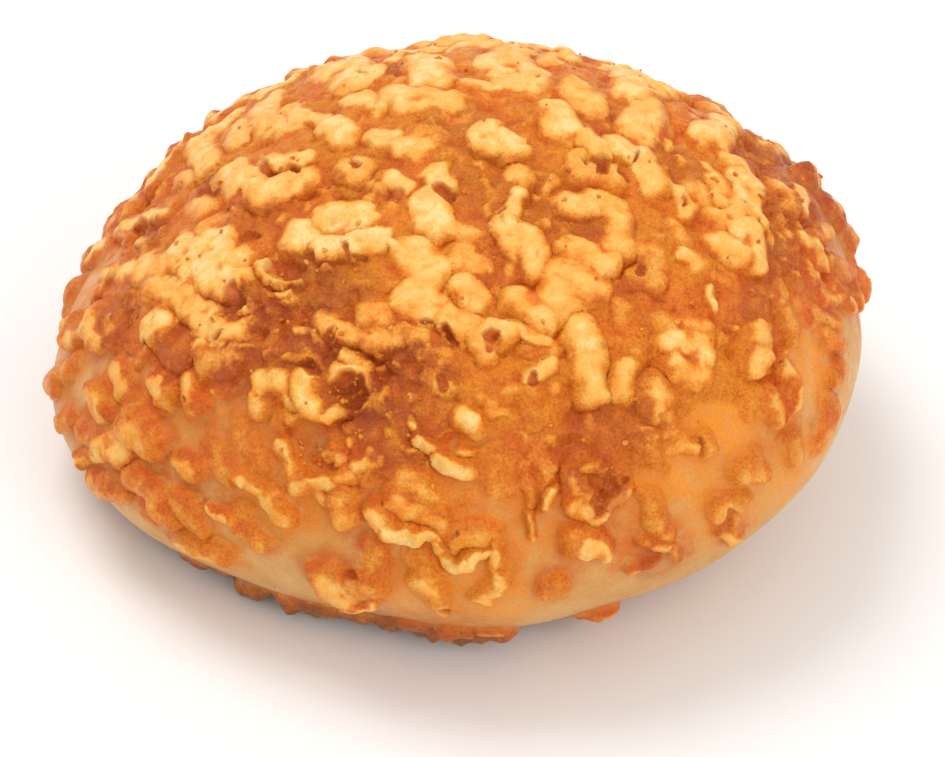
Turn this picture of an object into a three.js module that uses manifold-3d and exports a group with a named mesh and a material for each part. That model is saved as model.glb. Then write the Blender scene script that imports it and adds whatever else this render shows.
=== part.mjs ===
// A cheese roll: one round, slightly oval bread roll under a baked coat of grated cheese.
// Millimetres, +Z up. The roll rests on its flat base at z = 0, with the origin under its middle.
// The front of the roll, where most of the cheese is laid out by hand, faces -Y.

import * as THREE from "three";
import { mergeVertices } from "three/addons/utils/BufferGeometryUtils.js";
import Module from "manifold-3d";

// Driving dimensions
const MEAN_RADIUS = 55; // half the width of the roll at its widest level
const CROWN_HEIGHT = 36.8; // from the widest level up to the top of the crown
const BELLY_DEPTH = 33; // from the widest level down to where the belly would close
const WIDEST_LEVEL = 18; // height of the widest level above the base
const CROWN_ROUNDNESS = 1.78; // 2 is an ellipse, less is more pointed
const BELLY_ROUNDNESS = 1.7;
const OVALNESS = 0.041; // share by which the long axis is longer than the mean
const OVAL_TURN = THREE.MathUtils.degToRad(-18); // direction of the long axis
const LEAN = 5.7; // how much higher the right side rose than the middle
const CRUST_WAVE = 0.5; // depth of the slow dents in the crust

// Cheese, in millimetres: a shred lies from one place to another, with a width and a rise.
// A place is [x, y] on the crust unrolled flat from the top of the crown.
const SHRED_EDGE = 2.2; // how flat a shred's back is
const SHRED_SIDE = 0.8; // how softly its side meets the crust
const SHRED_SPREAD = 1.16; // its width at the foot against the width in the list
const FILM_THICKNESS = 0.45; // the thin melted layer between the shreds
const FILM_REACH = 60; // how far down the crust that layer runs
const FILM_FADE = 10; // how gradually it ends

const crownShreds = [
  [-19, 27, -14, 16, 8, 1.8],
  [-5, 22, -4, 12, 7, 1.6],
  [1, 30, 1, 18, 5, 1.1],
  [6, 19, 9, 10, 8, 1.5],
  [1, 9, 4, 8, 4, 1.2],
  [12, 14, 11, 10, 4, 1.2],
  [9, 30, 8, 20, 6, 1.3],
  [15, 27, 14, 21, 5, 1.3],
  [17, 10, 18, 5, 5.5, 1.5],
  [17, 18, 18, 13, 5, 1.1],
  [27, 9, 25, 1, 6, 1.5],
  [29, 27, 26, 12, 7, 1.8],
  [45, 18, 37, 6, 5.5, 1.7],
  [-43, 24, -38, 9, 6, 1.6],
  [-30, 16, -24, 7, 5.5, 1.4],
  [-34, 17, -32, 12, 5, 1.4],
  [-14, 9, -10, 5, 5, 1.2],
  [-8, 7, -5, 3.5, 6, 1.4],
  [-5, 5, -1, 3, 5, 1.4],
  [-17, 3, -15.5, 0, 5, 1.5],
  [-59, 12, -47, 2, 4, 1.5],
];
const middleShreds = [
  [-30, -2, -27, -7, 5, 1.7],
  [-26, -1, -21, -3, 4, 1.6],
  [-27, -8, -20.5, -7, 4.5, 1.7],
  [-33, 2, -31, -3, 6, 1.4],
  [-14, -7, -14, -8, 5, 1.7],
  [-7, -5, -4, -5, 4.5, 1.3],
  [4, -4, 6.5, -6, 5, 1.7],
  [13, 2, 13.5, -2, 5.5, 1.8],
  [16.5, -4, 18.5, -5, 4.5, 1.5],
  [16.5, -10, 20.5, -10.5, 4.5, 1.7],
  [21.5, -4, 24.5, -4.5, 5, 1.7],
  [26, -7, 28, -9.5, 5, 1.4],
  [-23, -17, -21, -18.5, 5.5, 1.4],
  [-18, -16, -13, -17, 5.5, 1.6],
  [-19, -21.5, -11, -22, 4.5, 1.7],
  [-4, -17, -3, -20, 6, 1.6],
  [-6, -25, -4, -28, 6.5, 1.4],
  [8, -15.5, 8, -18, 3.4, 1.4],
  [7, -20, 11.5, -27, 4.5, 1.8],
  [16, -16, 21, -16, 4.5, 1.7],
  [21.5, -17.5, 22, -23, 4.5, 1.7],
  [16, -24, 20, -25.5, 4.5, 1.7],
  [15, -28, 19, -30, 6, 1.4],
  [9.5, -33, 15.5, -34, 5, 1.4],
  [-6, -31.5, -4, -34, 6, 1.3],
  [4, -40, 7.5, -39, 4, 1.7],
  [18.5, -38, 21.5, -48, 5, 1.9],
  [25.5, -43, 26, -47, 4.5, 1.5],
  [31, -46, 32, -48, 6, 1.3],
  [-21, -33, -3, -39, 3, 1.2],
];
const sideShreds = [
  [-42, -12, -34, -13.5, 6.5, 1.7],
  [-37, -18, -34, -22, 6, 1.8],
  [-46, -16, -43, -20, 5, 1.4],
  [-42, -22, -39, -25.5, 5, 1.6],
  [-54, -7, -45, -13, 6, 1.4],
  [-48, -23.5, -46.5, -25.5, 5.5, 1.7],
  [-38.5, -27, -37, -33, 4.5, 1.7],
  [-38, -35, -35, -36, 5, 1.7],
  [-49, -35, -48, -37.5, 4.5, 1.5],
  [-43, -37, -43, -41, 4.5, 1.4],
  [-62, -13, -58, -20, 6, 1.6],
  [-71, -9, -64, -13, 4.5, 1.4],
  [-64, -28, -63, -33, 5, 1.5],
  [-67, -38, -60, -41, 6, 1.4],
  [-57, -39, -54, -43, 7, 1.8],
  [-82, -12, -77, -16, 4.5, 1.2],
  [-30, -42, -27, -43, 4.5, 1.4],
  [41, 2.5, 43.5, 0.5, 4.5, 1.4],
  [43, -3, 41, -11, 6, 1.6],
  [37, -5, 37.5, -9, 5, 1.3],
  [42, -14, 39, -18.5, 5, 1.7],
  [55, 4, 54, -1, 4, 1.6],
  [63, 0, 58, -6, 4.2, 1.4],
  [55, -8.5, 62, -10, 4.2, 1.4],
  [50, -22.5, 52.5, -28, 4.5, 1.2],
  [46.5, -31, 46.5, -37.5, 5, 1.6],
  [52.5, -36, 57, -40, 4.2, 1.4],
  [32, -37, 38, -37.5, 5, 1.5],
  [33.5, -41, 38.5, -41.5, 4.5, 1.5],
  [51, -42, 53, -43, 4.5, 1.3],
];
const lowerShreds = [
  [-61, -48, -56, -58, 4.6, 1.4],
  [-59, -66, -50, -71, 6, 1.3],
  [-52, -57, -50.5, -62, 5, 1.3],
  [-40, -65, -38, -70, 4.2, 1.2],
  [-38, -55.5, -30, -66, 4, 1.3],
  [-28.5, -53, -27, -59, 3, 1.4],
  [-23.5, -44.5, -22, -48.5, 4.5, 1.7],
  [-19, -64, -18.5, -67, 5.2, 1.4],
  [-5, -55.5, 2, -61, 4.4, 1.7],
  [1.5, -52.5, 4, -53.5, 4, 1.4],
  [-13, -67.5, -10, -70.5, 3.6, 1.7],
  [-10, -71, -2.5, -73, 3.2, 1.7],
  [-3, -73, 6, -73, 5.5, 1.5],
  [9.5, -75, 9, -84, 3, 1.4],
  [-4, -80.5, -2, -84, 5, 1.6],
  [-25, -80, -15, -82, 6, 1.6],
  [-24, -87.5, -16, -86.5, 3.4, 1.4],
  [20, -61, 25, -68.6, 4, 1.4],
  [24.5, -73, 28, -73, 4.8, 1.8],
];

// Cheese round the back, where it is spread evenly by a rule
const BACK_SHREDS = 120;
const BACK_START = 26; // nearest place to the top of the crown
const BACK_END = 88; // furthest place down the side
const BACK_EDGE = 26; // it begins behind this line on the unrolled crust,
const BACK_EDGE_TURN = 0.25; // which comes forward by this share towards the sides
const BACK_WIDTH = [3.2, 6.6];
const BACK_LENGTH = [1, 8];
const BACK_RISE = [1.0, 1.8];

const SPHERE_DETAIL = 22; // how finely the crust is split into triangles
const CROWN_PULL = 0.25; // how far the triangles are crowded up towards the crown
const FLOOR_BLOCK = 200; // side of the block that cuts the flat base

let seed = 20261;
function random() {
  seed = (seed * 16807) % 2147483647;
  return seed / 2147483647;
}

function between([low, high]) {
  return low + (high - low) * random();
}

// The bare crust: the point that a direction from the middle of the roll meets
function crustPoint(direction) {
  const across = Math.hypot(direction.x, direction.y);
  const up = Math.abs(direction.z);
  const roundness = direction.z > 0 ? CROWN_ROUNDNESS : BELLY_ROUNDNESS;
  const height = direction.z > 0 ? CROWN_HEIGHT : BELLY_DEPTH;
  const reach = (across ** roundness + up ** roundness) ** (-1 / roundness);
  const turn = Math.atan2(direction.y, direction.x) - OVAL_TURN;
  const radius = MEAN_RADIUS * (1 + OVALNESS * Math.cos(2 * turn)) * reach;
  const x = radius * direction.x;
  const y = radius * direction.y;
  const z = height * direction.z * reach + WIDEST_LEVEL + (LEAN * x) / MEAN_RADIUS;
  return new THREE.Vector3(x, y, z);
}

function crustNormal(direction) {
  const step = 0.01;
  const side = new THREE.Vector3(0, 0, 1).cross(direction);
  if (side.lengthSq() < 1e-6) side.set(1, 0, 0);
  side.normalize().multiplyScalar(step);
  const rise = direction.clone().cross(side);
  const point = crustPoint(direction);
  const sideways = crustPoint(direction.clone().add(side).normalize()).sub(point);
  const upwards = crustPoint(direction.clone().add(rise).normalize()).sub(point);
  return sideways.cross(upwards).normalize();
}

// A place on the unrolled crust, as a direction from the middle of the roll
function placeDirection(x, y) {
  const distance = Math.hypot(x, y) || 1e-6;
  const angle = distance / MEAN_RADIUS;
  const level = Math.sin(angle) / distance;
  return new THREE.Vector3(x * level, y * level, Math.cos(angle));
}

function backShreds() {
  const shreds = [];
  for (let i = 0; i < BACK_SHREDS; i += 1) {
    const bearing = Math.PI * ((i * 0.618034) % 1);
    const spread = (i + 0.5) / BACK_SHREDS;
    const distance = Math.sqrt(BACK_START ** 2 + (BACK_END ** 2 - BACK_START ** 2) * spread);
    const lie = Math.PI * random();
    const reach = between(BACK_LENGTH) / 2;
    const x = distance * Math.cos(bearing);
    const y = distance * Math.sin(bearing);
    const dx = reach * Math.cos(lie);
    const dy = reach * Math.sin(lie);
    const width = between(BACK_WIDTH);
    const rise = between(BACK_RISE);
    if (y > BACK_EDGE - BACK_EDGE_TURN * Math.abs(x)) {
      shreds.push([x - dx, y - dy, x + dx, y + dy, width, rise]);
    }
  }
  return shreds;
}

function laidShred([x0, y0, x1, y1, width, rise]) {
  const start = crustPoint(placeDirection(x0, y0));
  const end = crustPoint(placeDirection(x1, y1));
  return { line: new THREE.Line3(start, end), halfWidth: (SHRED_SPREAD * width) / 2, rise };
}

function crustWave(point) {
  const slow = Math.sin(point.x / 13 + 1.3) * Math.cos(point.y / 11 - 0.4);
  const quick = Math.sin(point.y / 6.1 + point.z / 7 + 2.1) * Math.sin(point.x / 5.3);
  return CRUST_WAVE * (slow + 0.5 * quick);
}

// The thin melted layer, which ends part of the way down the side
function filmThickness(direction) {
  const distance = Math.acos(direction.z) * MEAN_RADIUS;
  return FILM_THICKNESS * (1 - THREE.MathUtils.smoothstep(distance, FILM_REACH, FILM_REACH + FILM_FADE));
}

// How far cheese stands above the crust at a point: the highest shred there
const nearest = new THREE.Vector3();
function cheeseRise(point, shreds) {
  let highest = 0;
  for (const shred of shreds) {
    shred.line.closestPointToPoint(point, true, nearest);
    const share = nearest.distanceTo(point) / shred.halfWidth;
    if (share < 1) {
      const rise = shred.rise * (1 - share ** SHRED_EDGE) ** SHRED_SIDE;
      highest = Math.max(highest, rise);
    }
  }
  return highest;
}

function crustGeometry() {
  const geometry = new THREE.IcosahedronGeometry(1, SPHERE_DETAIL);
  const rows = [...crownShreds, ...middleShreds, ...sideShreds, ...lowerShreds, ...backShreds()];
  const shreds = rows.map(laidShred);
  const positions = geometry.attributes.position;
  const direction = new THREE.Vector3();
  for (let i = 0; i < positions.count; i += 1) {
    direction.fromBufferAttribute(positions, i);
    direction.z += CROWN_PULL;
    direction.normalize();
    const point = crustPoint(direction);
    const out = crustNormal(direction);
    const cheese = Math.max(cheeseRise(point, shreds), filmThickness(direction));
    const lift = cheese + crustWave(point);
    point.addScaledVector(out, lift);
    positions.setXYZ(i, point.x, point.y, point.z);
  }
  geometry.deleteAttribute("normal");
  geometry.deleteAttribute("uv");
  return mergeVertices(geometry, 1e-3);
}

const wasm = await Module();
wasm.setup();

function solidFrom(geometry) {
  geometry.deleteAttribute("normal");
  geometry.deleteAttribute("uv");
  const merged = mergeVertices(geometry, 1e-3);
  const mesh = new wasm.Mesh({
    numProp: 3,
    vertProperties: new Float32Array(merged.attributes.position.array),
    triVerts: new Uint32Array(merged.index.array),
  });
  return new wasm.Manifold(mesh);
}

function geometryFrom(solid) {
  const mesh = solid.getMesh();
  const geometry = new THREE.BufferGeometry();
  geometry.setAttribute("position", new THREE.BufferAttribute(mesh.vertProperties, 3));
  geometry.setIndex(new THREE.BufferAttribute(mesh.triVerts, 1));
  geometry.computeVertexNormals();
  return geometry;
}

// The roll's base is flat where it lay on the baking tray
function cheeseRoll() {
  const floor = new THREE.BoxGeometry(FLOOR_BLOCK, FLOOR_BLOCK, FLOOR_BLOCK);
  floor.translate(0, 0, -FLOOR_BLOCK / 2);
  const roll = solidFrom(crustGeometry()).subtract(solidFrom(floor));
  const crust = new THREE.MeshStandardMaterial({ color: 0xe08b45, roughness: 0.55, metalness: 0 });
  const mesh = new THREE.Mesh(geometryFrom(roll), crust);
  mesh.name = "cheese_roll";
  return mesh;
}

const group = new THREE.Group();
group.add(cheeseRoll());

export default group;
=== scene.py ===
import itertools
import math

import bmesh
import bpy
import numpy as np
from mathutils import Matrix, Vector


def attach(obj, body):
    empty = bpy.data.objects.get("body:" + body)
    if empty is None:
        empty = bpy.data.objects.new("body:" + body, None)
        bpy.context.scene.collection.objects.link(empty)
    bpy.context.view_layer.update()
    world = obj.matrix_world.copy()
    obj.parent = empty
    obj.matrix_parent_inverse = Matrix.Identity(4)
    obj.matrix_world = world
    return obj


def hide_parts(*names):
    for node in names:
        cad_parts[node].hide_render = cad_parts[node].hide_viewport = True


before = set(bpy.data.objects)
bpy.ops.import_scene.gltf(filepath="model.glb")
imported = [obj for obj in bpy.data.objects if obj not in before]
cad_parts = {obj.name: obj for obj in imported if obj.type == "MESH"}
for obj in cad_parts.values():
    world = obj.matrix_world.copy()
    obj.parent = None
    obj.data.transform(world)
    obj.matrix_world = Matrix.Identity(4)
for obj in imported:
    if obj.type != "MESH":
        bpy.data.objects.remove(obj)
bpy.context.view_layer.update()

mm = 0.001  # everything below is worked out in millimetres and made in metres
goldenTurn = 0.618034  # the share of a turn from one shred to the next that spreads them evenly

roll = {
    "meanRadius": 55,  # half the width at the widest level
    "crownHeight": 36.8,  # widest level to the top
    "bellyDepth": 33,  # widest level to where the belly would close
    "widestLevel": 18,  # above the base
    "crownRoundness": 1.78,  # 2 is an ellipse
    "bellyRoundness": 1.7,
    "ovalness": 0.041,
    "ovalTurn": math.radians(-18),
    "lean": 5.7,  # how much higher the right side rose
    "wave": 0.5,  # slow dents in the crust
    "baseRounding": 1.4,  # how softly the side turns into the base
}


def partWay(pair, share):
    # a value between the two of a pair
    return pair[0] + (pair[1] - pair[0]) * share


def smoothStep(low, high, values):
    share = np.clip((values - low) / (high - low), 0, 1)
    return share * share * (3 - 2 * share)


def crustPoints(directions):
    # where directions from the middle of the roll meet the bare crust
    across = np.hypot(directions[:, 0], directions[:, 1])
    level = directions[:, 2]
    above = level > 0
    roundness = np.where(above, roll["crownRoundness"], roll["bellyRoundness"])
    height = np.where(above, roll["crownHeight"], roll["bellyDepth"])
    reach = (across**roundness + np.abs(level) ** roundness) ** (-1 / roundness)
    turn = np.arctan2(directions[:, 1], directions[:, 0]) - roll["ovalTurn"]
    radius = roll["meanRadius"] * (1 + roll["ovalness"] * np.cos(2 * turn)) * reach
    x = radius * directions[:, 0]
    y = radius * directions[:, 1]
    z = height * level * reach + roll["widestLevel"] + roll["lean"] * x / roll["meanRadius"]
    return np.stack([x, y, z], 1)


def normalised(vectors):
    return vectors / np.maximum(np.linalg.norm(vectors, axis=1, keepdims=True), 1e-9)


def crustNormals(directions):
    step = 0.01
    side = np.cross([0, 0, 1], directions)
    side[np.linalg.norm(side, axis=1) < 1e-3] = (1, 0, 0)
    side = normalised(side) * step
    rise = np.cross(directions, side)
    here = crustPoints(directions)
    sideways = crustPoints(normalised(directions + side)) - here
    upwards = crustPoints(normalised(directions + rise)) - here
    return normalised(np.cross(sideways, upwards))


def placeDirections(places):
    # a place is (x, y) in mm on the crust unrolled flat from the top of the crown
    places = np.asarray(places, float).reshape(-1, 2)
    distance = np.maximum(np.hypot(places[:, 0], places[:, 1]), 1e-6)
    angle = distance / roll["meanRadius"]
    flat = places * (np.sin(angle) / distance)[:, None]
    return np.column_stack([flat, np.cos(angle)])


def crustWave(points):
    x, y, z = points.T
    slow = np.sin(x / 13 + 1.3) * np.cos(y / 11 - 0.4)
    quick = np.sin(y / 6.1 + z / 7 + 2.1) * np.sin(x / 5.3)
    return roll["wave"] * (slow + 0.5 * quick)


# Broad places where the crust stands out or lies lower: x, y, radius and height
swells = [
    [-62, 22, 36, -1.7],
    [40, 34, 20, -1.9],
    [20, 38, 16, -0.9],
    [66, 14, 18, 1.0],
    [-86, -10, 26, 0.9],
    [-60, -90, 36, -2.2],
    [-15, -112, 20, -0.5],
    [72, -74, 30, 0.5],
]


def swelling(points):
    height = np.zeros(len(points))
    for x, y, radius, rise in swells:
        centre = crustPoints(placeDirections([x, y]))[0]
        height += rise * smoothStep(radius, 0, np.linalg.norm(points - centre, axis=1))
    return height


# large odd numbers that turn a cell into a number that looks random
cellFactors = np.array([73856093, 19349663, 83492791])
saltFactor = 7919
mixFactor = 1274126177


def lumps(points, size, salt):
    # smooth noise from -1 to 1, with lumps of about the given size
    cell = points / size + 17.3 * salt
    low = np.floor(cell).astype(np.int64)
    part = cell - low
    part = part * part * (3 - 2 * part)
    total = np.zeros(len(points))
    for corner in itertools.product((0, 1), repeat=3):
        key = (low + corner) @ cellFactors + saltFactor * salt
        key = (key ^ (key >> 13)) * mixFactor & 0x7FFFFFFF
        key = (key ^ (key >> 16)) & 0xFFFF
        weight = np.prod(np.where(corner, part, 1 - part), axis=1)
        total += weight * (key / 32767.5 - 1)
    return total


# The larger shreds that show: from x, y to x, y, then width, rise and how pale it is
shreds = {
    "crown": [
        [-19, 27, -14, 16, 8, 1.7, 1.0],
        [-5, 22, -4, 12, 7, 1.5, 1.0],
        [1, 30, 1, 18, 5, 1.0, 0.3],
        [6, 19, 9, 10, 8, 1.4, 0.9],
        [1, 9, 4, 8, 4, 1.1, 0.85],
        [12, 14, 11, 10, 4, 1.1, 0.9],
        [9, 30, 8, 20, 6, 1.2, 0.75],
        [15, 27, 14, 21, 5, 1.2, 0.7],
        [17, 10, 18, 5, 5.5, 1.4, 0.75],
        [17, 18, 18, 13, 5, 1.0, 0.25],
        [27, 9, 25, 1, 6, 1.4, 0.8],
        [29, 27, 26, 12, 7, 1.7, 0.95],
        [34, 15, 33, 8, 3.5, 0.9, 0.25],
        [45, 18, 37, 6, 5.5, 1.6, 0.95],
        [-43, 24, -38, 9, 6, 1.5, 0.9],
        [-44, 11, -42, 8, 4, 1.1, 0.6],
        [-30, 16, -24, 7, 5.5, 1.3, 0.75],
        [-34, 17, -32, 12, 5, 1.3, 0.8],
        [-24, 14, -22, 9, 4, 1.2, 0.8],
        [-20, 8, -18, 5, 3.2, 1.0, 0.85],
        [-14, 9, -10, 5, 5, 1.1, 0.85],
        [-8, 7, -5, 3.5, 6, 1.3, 0.9],
        [-5, 5, -1, 3, 5, 1.3, 0.7],
        [-17, 3, -15.5, 0, 5, 1.4, 0.95],
        [-59, 12, -47, 2, 4, 1.4, 0.85],
        [-61, 13, -55, 4, 3, 1.0, 0.35],
        [-24, 4, -23, 2.5, 4, 0.7, 0.1],
        [-2, 39, 3, 39, 6.5, 1.8, 0.8],
    ],
    "middle": [
        [-30, -2, -27, -7, 5, 1.6, 0.95],
        [-26, -1, -21, -3, 4, 1.5, 0.85],
        [-27, -8, -20.5, -7, 4.5, 1.6, 0.8],
        [-33, 2, -31, -3, 6, 1.3, 0.9],
        [-14, -7, -14, -8, 5, 1.6, 0.75],
        [-11, -1, -8.5, -3.5, 3.8, 1.1, 0.85],
        [-7, -5, -5, -6, 4.5, 1.2, 0.85],
        [-5, -3, -3, -4, 5, 1.1, 0.45],
        [4, -4, 4.5, -6, 5, 1.6, 1.0],
        [6.5, -5, 7, -7, 4.5, 1.5, 1.0],
        [13, 2, 13.5, -2, 5.5, 1.7, 1.0],
        [16.5, -4, 18.5, -5, 4.5, 1.4, 0.85],
        [16.5, -10, 20.5, -10.5, 4.5, 1.6, 0.6],
        [15.5, -7, 16, -9, 3, 1.3, 0.7],
        [21.5, -4, 24.5, -4.5, 5, 1.6, 1.0],
        [26, -7, 28, -9.5, 5, 1.3, 0.8],
        [-9, -11, -8, -13, 3.8, 1.0, 0.85],
        [-10, -16, -9, -19, 3, 0.9, 0.5],
        [-3, -11, -2, -13, 4.5, 1.2, 0.85],
        [-4, -17, -3, -20, 6, 1.5, 1.0],
        [0, -21, 2, -22, 4, 1.0, 0.6],
        [-6, -25, -4, -28, 6.5, 1.3, 0.85],
        [0, -27, 3, -27.5, 4, 1.1, 0.65],
        [8, -11.5, 9, -13, 3.8, 1.0, 0.65],
        [8, -15.5, 8, -18, 3.4, 1.3, 0.95],
        [7, -20, 9, -24, 4.5, 1.6, 0.9],
        [10, -22, 11.5, -27, 4, 1.7, 0.85],
        [16, -16, 21, -16, 4.5, 1.6, 0.75],
        [21.5, -17.5, 22, -23, 4.5, 1.6, 0.7],
        [16, -24, 20, -25.5, 4.5, 1.6, 0.75],
        [15, -28, 19, -30, 6, 1.3, 0.75],
        [14.5, -31, 15.5, -34, 5, 1.3, 0.75],
        [9.5, -33, 12, -35, 5, 1.3, 0.75],
        [25, -22, 27, -24, 4.5, 1.1, 0.5],
        [25, -27, 28, -27, 3, 1.0, 0.45],
        [-6, -31.5, -4, -34, 6, 1.2, 0.85],
        [1, -31, 3, -33, 4.5, 1.2, 0.75],
        [-1, -36, 3, -38, 4, 1.2, 0.7],
        [4, -40, 5, -41.5, 4, 1.6, 0.7],
        [5.5, -38.5, 7.5, -39, 3.6, 1.6, 0.85],
        [9, -38, 13, -39, 2.5, 1.0, 0.85],
        [11, -45.5, 14, -43.5, 2.6, 1.2, 0.75],
        [8, -48, 12, -47.5, 2.5, 1.0, 0.4],
        [18.5, -38, 20, -42, 5, 1.8, 0.9],
        [20, -43, 21.5, -48, 5, 1.7, 0.8],
        [25.5, -43, 26, -47, 4.5, 1.4, 0.8],
        [31, -46, 32, -48, 6, 1.2, 0.7],
        [-3, -45, -1, -47, 4, 1.0, 0.5],
        [-4, -41, -1, -42, 3, 0.9, 0.45],
    ],
    "left": [
        [-42, -12, -39, -15, 6.5, 1.6, 0.95],
        [-38, -13, -34, -13.5, 6, 1.5, 0.95],
        [-40, -17.5, -38, -20, 5, 1.5, 0.95],
        [-37, -18, -34, -22, 6, 1.7, 1.0],
        [-46, -16, -43, -20, 5, 1.3, 0.75],
        [-42, -22, -39, -25.5, 5, 1.5, 0.75],
        [-35, -16, -32, -18, 5, 1.3, 0.9],
        [-33, -21, -31, -22, 3.6, 1.0, 0.75],
        [-54, -7, -49, -9, 6, 1.3, 0.85],
        [-49, -11, -45, -13, 5.5, 1.2, 0.75],
        [-38, -9, -34, -9, 4, 0.9, 0.6],
        [-48, -23.5, -46.5, -25.5, 5.5, 1.6, 0.95],
        [-46, -29, -44, -32, 5, 1.1, 0.1],
        [-38.5, -27, -37, -30, 4.5, 1.6, 0.85],
        [-39, -32, -36, -33, 3.5, 1.5, 0.8],
        [-36, -30, -33, -32, 4, 1.4, 0.8],
        [-38, -35, -35, -36, 5, 1.6, 0.35],
        [-33, -33, -31, -31.5, 3, 1.0, 0.35],
        [-49, -35, -48, -37.5, 4.5, 1.4, 0.65],
        [-43, -37, -43, -41, 4.5, 1.3, 0.55],
        [-62, -13, -60, -18, 6, 1.6, 0.65],
        [-58, -16, -57, -20, 5, 1.3, 0.15],
        [-71, -9, -64, -13, 4.5, 1.3, 0.85],
        [-61, -1, -55, -5, 3.6, 1.0, 0.65],
        [-75, -4, -68, -7, 4, 1.2, 0.8],
        [-64, -28, -63, -33, 5, 1.4, 0.6],
        [-58, -27, -57, -31, 5, 1.0, 0.6],
        [-57, -35.5, -54, -36.5, 3.6, 1.0, 0.3],
        [-67, -38, -61, -39, 6, 1.2, 0.8],
        [-64, -41, -60, -42, 4.5, 1.2, 0.75],
        [-77, -36, -70, -38.5, 3, 1.2, 0.95],
        [-57, -39, -54, -43, 7, 1.7, 0.5],
        [-40, -1, -38, -4, 4.5, 1.1, 0.65],
        [-52, 0, -50, -2, 2.2, 0.8, 0.7],
        [-82, -12, -77, -16, 4.5, 1.1, 0.4],
        [-75, -15, -71, -17, 5, 1.0, 0.3],
        [-78, -24, -75, -28, 4.5, 1.0, 0.25],
        [-72, -33, -69, -35, 4, 1.0, 0.3],
        [-76, -42, -72, -46, 4.5, 1.1, 0.35],
        [-69, -46, -66, -48, 4, 1.0, 0.2],
        [-30, -42, -27, -43, 4.5, 1.3, 0.8],
        [-32, -43.5, -31, -46, 3.2, 1.1, 0.6],
        [-27, -46, -25, -47, 3, 1.0, 0.55],
    ],
    "cup": [
        [-23, -17, -21, -18.5, 5.5, 1.3, 0.95],
        [-18, -16, -13, -17, 5.5, 1.5, 1.0],
        [-19, -21.5, -15, -22, 4.5, 1.6, 1.0],
        [-15, -21.5, -11, -22, 4.5, 1.5, 1.0],
        [-27.5, -21, -27, -24, 2.6, 1.3, 0.85],
        [-26, -19.8, -23, -19.8, 2, 1.1, 0.6],
        [-26, -25, -23.5, -25, 2, 1.1, 0.45],
        [-9, -23.2, -8.5, -24.4, 2, 1.2, 0.95],
        [-26, -27.5, -25, -27, 1.6, 0.8, 0.75],
        [-21, -33, -19, -35.5, 2.6, 1.1, 0.65],
        [-18, -36, -13, -37.5, 3, 1.1, 0.6],
        [-13, -38, -7, -38, 3.4, 1.2, 0.6],
        [-7, -37.5, -3, -39, 3.6, 1.2, 0.55],
        [-3, -40, -1, -43, 3, 1.0, 0.45],
        [-13, -33.5, -10, -34.5, 4, 0.9, 0.6],
        [-23.5, -44.5, -22, -48.5, 4.5, 1.6, 1.0],
        [-21.5, -49.5, -18, -50, 3, 1.3, 0.8],
        [-19, -42.5, -14, -42.8, 3, 1.2, 0.75],
        [-14, -44, -13, -46, 2.4, 1.0, 0.45],
        [-17, -40, -15, -41.5, 3, 1.0, 0.6],
    ],
    "right": [
        [35.5, -1.5, 36.5, -2.5, 2, 0.8, 0.8],
        [30, 2, 30.5, 0, 1.8, 0.7, 0.7],
        [41, 2.5, 43.5, 0.5, 4.5, 1.3, 0.8],
        [43, -3, 42, -8, 6, 1.6, 0.95],
        [41, -9, 40, -12, 5, 1.3, 0.75],
        [37, -5, 37.5, -9, 5, 1.2, 0.75],
        [33, -8, 34, -11, 4, 1.0, 0.55],
        [31, -10, 33, -13, 3, 1.1, 0.75],
        [44.6, -4, 45, -12, 2.6, 1.3, 0.7],
        [42, -14, 43, -19, 5, 1.7, 0.95],
        [38, -18, 41, -19, 5, 1.6, 0.85],
        [37, -13, 39, -14, 4, 1.0, 0.6],
        [32, -22, 34, -23.5, 2.5, 0.9, 0.85],
        [30.5, -16, 32, -19, 3.5, 0.9, 0.5],
        [36.8, -26.5, 37.9, -30, 1.6, 1.0, 0.95],
        [55, 4, 54, -1, 4, 1.5, 0.85],
        [51, 2, 52, -3, 4, 1.2, 0.6],
        [63, 0, 58, -6, 4.2, 1.3, 0.55],
        [55, -8.5, 59, -8.5, 4.2, 1.3, 0.85],
        [59, -10.5, 62, -10, 3.5, 1.2, 0.6],
        [64, -13, 71, -13, 3, 1.0, 0.6],
        [61, -17, 68, -13.5, 3, 0.9, 0.4],
        [58, -23, 66, -20, 4, 0.9, 0.35],
        [62, -25.5, 68, -23, 3.5, 1.0, 0.3],
        [66, -8, 70, -4, 4, 0.9, 0.15],
        [74, -3, 76, -8, 4, 1.1, 0.4],
        [79, 4, 81, 0, 4, 1.8, 0.5],
        [69, -28, 67, -31, 3.5, 0.9, 0.3],
        [50, -22.5, 50.5, -24, 4.5, 1.1, 0.4],
        [52, -26, 52.5, -28, 4.5, 1.2, 0.4],
        [46, -25, 47, -28, 4, 0.8, 0.15],
        [46.5, -31, 46.5, -34, 5, 1.4, 0.7],
        [46.5, -35, 46.5, -37.5, 4.5, 1.5, 0.85],
        [52.5, -36, 55, -36.5, 4.2, 1.3, 0.8],
        [56.5, -38, 57, -41, 4.2, 1.4, 0.7],
        [54, -39.5, 54, -40, 3, 0.8, 0.15],
        [51, -42, 53, -43, 4.5, 1.2, 0.5],
        [48, -42.5, 48.5, -44, 4, 0.9, 0.25],
        [69, -36, 69, -43, 4, 1.0, 0.25],
        [32, -37, 34.5, -37, 5, 1.4, 0.9],
        [36.5, -36, 38, -38.5, 5, 1.5, 0.95],
        [33.5, -41, 36, -42, 5, 1.4, 0.85],
        [37, -42, 38.5, -41, 4, 1.2, 0.7],
        [35, -33, 37, -33.5, 4, 1.0, 0.6],
        [29, -33, 32, -34, 4, 0.9, 0.4],
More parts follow.
